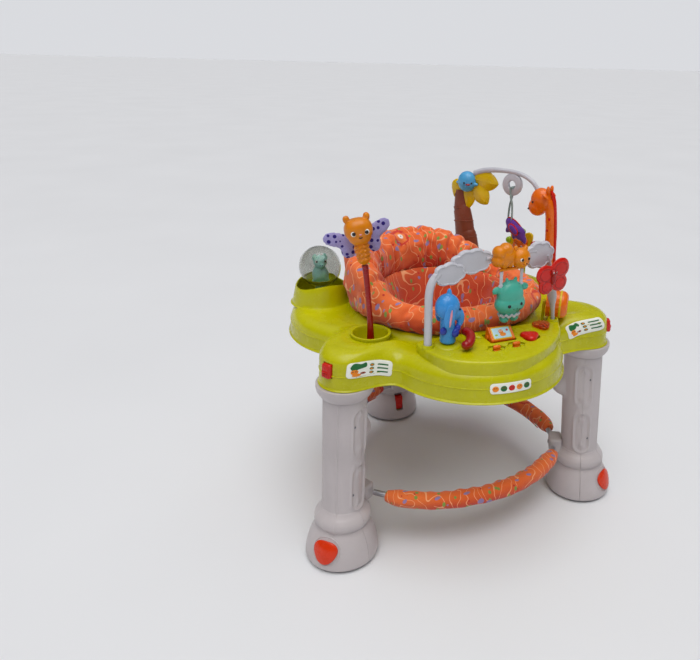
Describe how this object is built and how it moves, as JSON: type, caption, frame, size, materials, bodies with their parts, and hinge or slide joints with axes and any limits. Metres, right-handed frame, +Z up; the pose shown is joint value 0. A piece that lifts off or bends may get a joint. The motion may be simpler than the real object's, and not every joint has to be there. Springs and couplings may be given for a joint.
{
  "type": "activity jumper",
  "caption": "Three-legged baby activity jumper: spring legs on casters, lobed toy tray, swivelling padded fabric seat, toy arches and padded foot ring.",
  "frame": {"origin": "on the floor, at the centre of the three legs", "axes": "+Z up; -Y towards the flat toy console; the rear leg stands on +Y"},
  "size_m": [0.719, 0.7405, 0.684],
  "materials": {
    "shell_plastic": "satin",
    "steel": "brushed",
    "red_plastic": "gloss",
    "dark_red_plastic": "gloss",
    "orange_plastic": "gloss",
    "amber_plastic": "gloss",
    "grey_plastic": "satin",
    "white_plastic": "gloss",
    "orange_fabric": "woven, printed",
    "lavender_fabric": "plush",
    "purple_fabric": "plush",
    "lime_plastic": "gloss",
    "smoke_glass": "clear, smoky",
    "teal_plastic": "gloss",
    "brown_plastic": "satin",
    "yellow_plastic": "gloss",
    "blue_plastic": "gloss"
  },
  "bodies": {
    "legs": {"left_leg_outer_shell": "shell_plastic", "left_leg_inner_shell": "shell_plastic", "left_leg_spring": "steel", "right_leg_outer_shell": "shell_plastic", "right_leg_inner_shell": "shell_plastic", "right_leg_spring": "steel", "rear_leg_outer_shell": "shell_plastic", "rear_leg_inner_shell": "shell_plastic", "rear_leg_spring": "steel", "front_foot_tube": "steel", "front_foot_pad": "orange_fabric", "left_foot_tube": "steel", "left_foot_pad": "orange_fabric", "right_foot_tube": "steel", "right_foot_pad": "orange_fabric"},
    "tray": {"tray_top": "lime_plastic", "tray_base": "shell_plastic", "console_panel": "lime_plastic", "battery_box": "grey_plastic", "cloud_arch": "white_plastic", "bee": "orange_plastic", "palm_trunk": "brown_plastic", "palm_crown": "yellow_plastic", "rear_arch_tube": "white_plastic", "giraffe_post": "orange_plastic", "light_lens": "orange_plastic"},
    "seat": {"seat_ring": "white_plastic", "seat_pad": "orange_fabric", "seat_sling": "orange_fabric"},
    "globe": {"globe_dome": "smoke_glass", "lizard": "teal_plastic"},
    "dragonfly_stem": {"dragonfly_stem": "dark_red_plastic"},
    "dragonfly": {"dragonfly_body": "amber_plastic", "dragonfly_wings": "lavender_fabric"},
    "hanging_elephant": {"hanging_elephant": "purple_fabric"},
    "tiger_toy": {"tiger_toy": "yellow_plastic"},
    "swing_deer": {"swing_deer": "teal_plastic"},
    "butterfly": {"butterfly": "red_plastic"},
    "switch_elephant": {"switch_elephant": "blue_plastic"},
    "spin_drum": {"spin_drum": "orange_plastic"},
    "red_button": {"red_button": "red_plastic"},
    "bean_rocker": {"bean_rocker": "dark_red_plastic"},
    "left_slide_switch": {"left_slide_switch": "orange_plastic"},
    "right_slide_switch": {"right_slide_switch": "orange_plastic"},
    "spin_barrel": {"spin_barrel": "amber_plastic"},
    "left_latch": {"left_latch": "red_plastic"},
    "left_brake_rocker": {"left_brake_rocker": "red_plastic"},
    "left_brake_plunger": {"left_brake_plunger": "orange_plastic"},
    "left_caster_fork": {"left_caster_fork": "grey_plastic"},
    "left_caster_wheels": {"left_caster_wheels": "white_plastic"},
    "right_latch": {"right_latch": "red_plastic"},
    "right_brake_rocker": {"right_brake_rocker": "red_plastic"},
    "right_brake_plunger": {"right_brake_plunger": "orange_plastic"},
    "right_caster_fork": {"right_caster_fork": "grey_plastic"},
    "right_caster_wheels": {"right_caster_wheels": "white_plastic"},
    "rear_latch": {"rear_latch": "red_plastic"},
    "rear_brake_rocker": {"rear_brake_rocker": "red_plastic"},
    "rear_brake_plunger": {"rear_brake_plunger": "orange_plastic"},
    "rear_caster_fork": {"rear_caster_fork": "grey_plastic"},
    "rear_caster_wheels": {"rear_caster_wheels": "white_plastic"}
  },
  "joints": [
    {"name": "bounce", "type": "slide", "parent": "legs", "child": "tray", "axis": [0, 0, 1], "range_m": [-0.016, 0], "stiffness_N_per_m": 6000, "springref_m": 0.02, "deforming": ["left_leg_spring", "right_leg_spring", "rear_leg_spring"]},
    {"name": "seat_spin", "type": "hinge", "parent": "tray", "child": "seat", "pos_m": [0, 0, 0.407], "axis": [0, 0, 1], "continuous": true},
    {"name": "left_latch_press", "type": "slide", "parent": "tray", "child": "left_latch", "axis": [0.866, 0.5, 0], "range_m": [0, 0.003], "stiffness_N_per_m": 600, "springref_m": -0.001},
    {"name": "left_brake_rock", "type": "hinge", "parent": "legs", "child": "left_brake_rocker", "pos_m": [-0.23474, -0.13553, 0.056], "axis": [0.5, -0.866, 0], "range_deg": [0, 18]},
    {"name": "left_brake_drop", "type": "slide", "parent": "legs", "child": "left_brake_plunger", "axis": [0, 0, -1], "range_m": [0, 0.006]},
    {"name": "left_caster_swivel", "type": "hinge", "parent": "legs", "child": "left_caster_fork", "pos_m": [-0.2911, -0.16806, 0.049], "axis": [0, 0, 1], "continuous": true},
    {"name": "left_wheel_roll", "type": "hinge", "parent": "left_caster_fork", "child": "left_caster_wheels", "pos_m": [-0.28417, -0.16406, 0.0175], "axis": [0.5, -0.866, 0], "continuous": true},
    {"name": "right_latch_press", "type": "slide", "parent": "tray", "child": "right_latch", "axis": [-0.866, 0.5, 0], "range_m": [0, 0.003], "stiffness_N_per_m": 600, "springref_m": -0.001},
    {"name": "right_brake_rock", "type": "hinge", "parent": "legs", "child": "right_brake_rocker", "pos_m": [0.23474, -0.13553, 0.056], "axis": [0.5, 0.866, 0], "range_deg": [0, 18]},
    {"name": "right_brake_drop", "type": "slide", "parent": "legs", "child": "right_brake_plunger", "axis": [0, 0, -1], "range_m": [0, 0.006]},
    {"name": "right_caster_swivel", "type": "hinge", "parent": "legs", "child": "right_caster_fork", "pos_m": [0.2911, -0.16806, 0.049], "axis": [0, 0, 1], "continuous": true},
    {"name": "right_wheel_roll", "type": "hinge", "parent": "right_caster_fork", "child": "right_caster_wheels", "pos_m": [0.28417, -0.16406, 0.0175], "axis": [0.5, 0.866, 0], "continuous": true},
    {"name": "rear_latch_press", "type": "slide", "parent": "tray", "child": "rear_latch", "axis": [0, -1, 0], "range_m": [0, 0.003], "stiffness_N_per_m": 600, "springref_m": -0.001},
    {"name": "rear_brake_rock", "type": "hinge", "parent": "legs", "child": "rear_brake_rocker", "pos_m": [0, 0.27105, 0.056], "axis": [-1, 0, 0], "range_deg": [0, 18]},
    {"name": "rear_brake_drop", "type": "slide", "parent": "legs", "child": "rear_brake_plunger", "axis": [0, 0, -1], "range_m": [0, 0.006]},
    {"name": "rear_caster_swivel", "type": "hinge", "parent": "legs", "child": "rear_caster_fork", "pos_m": [0, 0.33613, 0.049], "axis": [0, 0, 1], "continuous": true},
    {"name": "rear_wheel_roll", "type": "hinge", "parent": "rear_caster_fork", "child": "rear_caster_wheels", "pos_m": [0, 0.32813, 0.0175], "axis": [-1, 0, 0], "continuous": true},
    {"name": "globe_spin", "type": "hinge", "parent": "tray", "child": "globe", "pos_m": [-0.22863, 0.132, 0.503], "axis": [0, 0, 1], "continuous": true},
    {"name": "stem_sway", "type": "hinge", "parent": "tray", "child": "dragonfly_stem", "pos_m": [-0.20092, -0.116, 0.41], "axis": [0.5, -0.866, 0], "range_deg": [-12, 12], "stiffness_Nm_per_rad": 0.6},
    {"name": "dragonfly_rock", "type": "hinge", "parent": "dragonfly_stem", "child": "dragonfly", "pos_m": [-0.20732, -0.113, 0.5767], "axis": [-0.1736, -0.9848, 0], "range_deg": [-12, 12], "stiffness_Nm_per_rad": 0.4},
    {"name": "elephant_swing", "type": "hinge", "parent": "tray", "child": "hanging_elephant", "pos_m": [0.22517, 0.13, 0.65], "axis": [0.866, 0.5, 0], "range_deg": [-16, 16]},
    {"name": "tiger_spin", "type": "hinge", "parent": "tray", "child": "tiger_toy", "pos_m": [0.26927, 0.14161, 0.5], "axis": [0.866, 0.5, 0], "continuous": true},
    {"name": "deer_swing", "type": "hinge", "parent": "tray", "child": "swing_deer", "pos_m": [0.02771, -0.22199, 0.5745], "axis": [0.9943, 0.1063, 0], "range_deg": [-28, 2]},
    {"name": "butterfly_spin", "type": "hinge", "parent": "tray", "child": "butterfly", "pos_m": [0.11417, -0.2218, 0.553], "axis": [-0.1063, 0.9943, 0], "continuous": true},
    {"name": "elephant_lever", "type": "hinge", "parent": "tray", "child": "switch_elephant", "pos_m": [-0.095, -0.226, 0.4565], "axis": [1, 0, 0], "range_deg": [-8, 8], "stiffness_Nm_per_rad": 1.5},
    {"name": "drum_spin", "type": "hinge", "parent": "tray", "child": "spin_drum", "pos_m": [0.008, -0.228, 0.455], "axis": [1, 0, 0], "continuous": true},
    {"name": "button_press", "type": "slide", "parent": "tray", "child": "red_button", "axis": [0, 0, -1], "range_m": [0, 0.003], "stiffness_N_per_m": 500, "springref_m": -0.001},
    {"name": "bean_rock", "type": "hinge", "parent": "tray", "child": "bean_rocker", "pos_m": [-0.067, -0.249, 0.4655], "axis": [0.9063, -0.4226, 0], "range_deg": [-6, 6], "stiffness_Nm_per_rad": 0.5},
    {"name": "left_switch_slide", "type": "slide", "parent": "tray", "child": "left_slide_switch", "axis": [1, 0, 0], "range_m": [-0.006, 0.006]},
    {"name": "right_switch_slide", "type": "slide", "parent": "tray", "child": "right_slide_switch", "axis": [1, 0, 0], "range_m": [-0.006, 0.006]},
    {"name": "barrel_spin", "type": "hinge", "parent": "tray", "child": "spin_barrel", "pos_m": [0.171, -0.168, 0.474], "axis": [0.788, -0.6157, 0], "continuous": true}
  ],
  "couplings": [
    {"joint": "left_brake_drop", "follows": "left_brake_rock", "m_per_rad": 0.019},
    {"joint": "right_brake_drop", "follows": "right_brake_rock", "m_per_rad": 0.019},
    {"joint": "rear_brake_drop", "follows": "rear_brake_rock", "m_per_rad": 0.019}
  ]
}
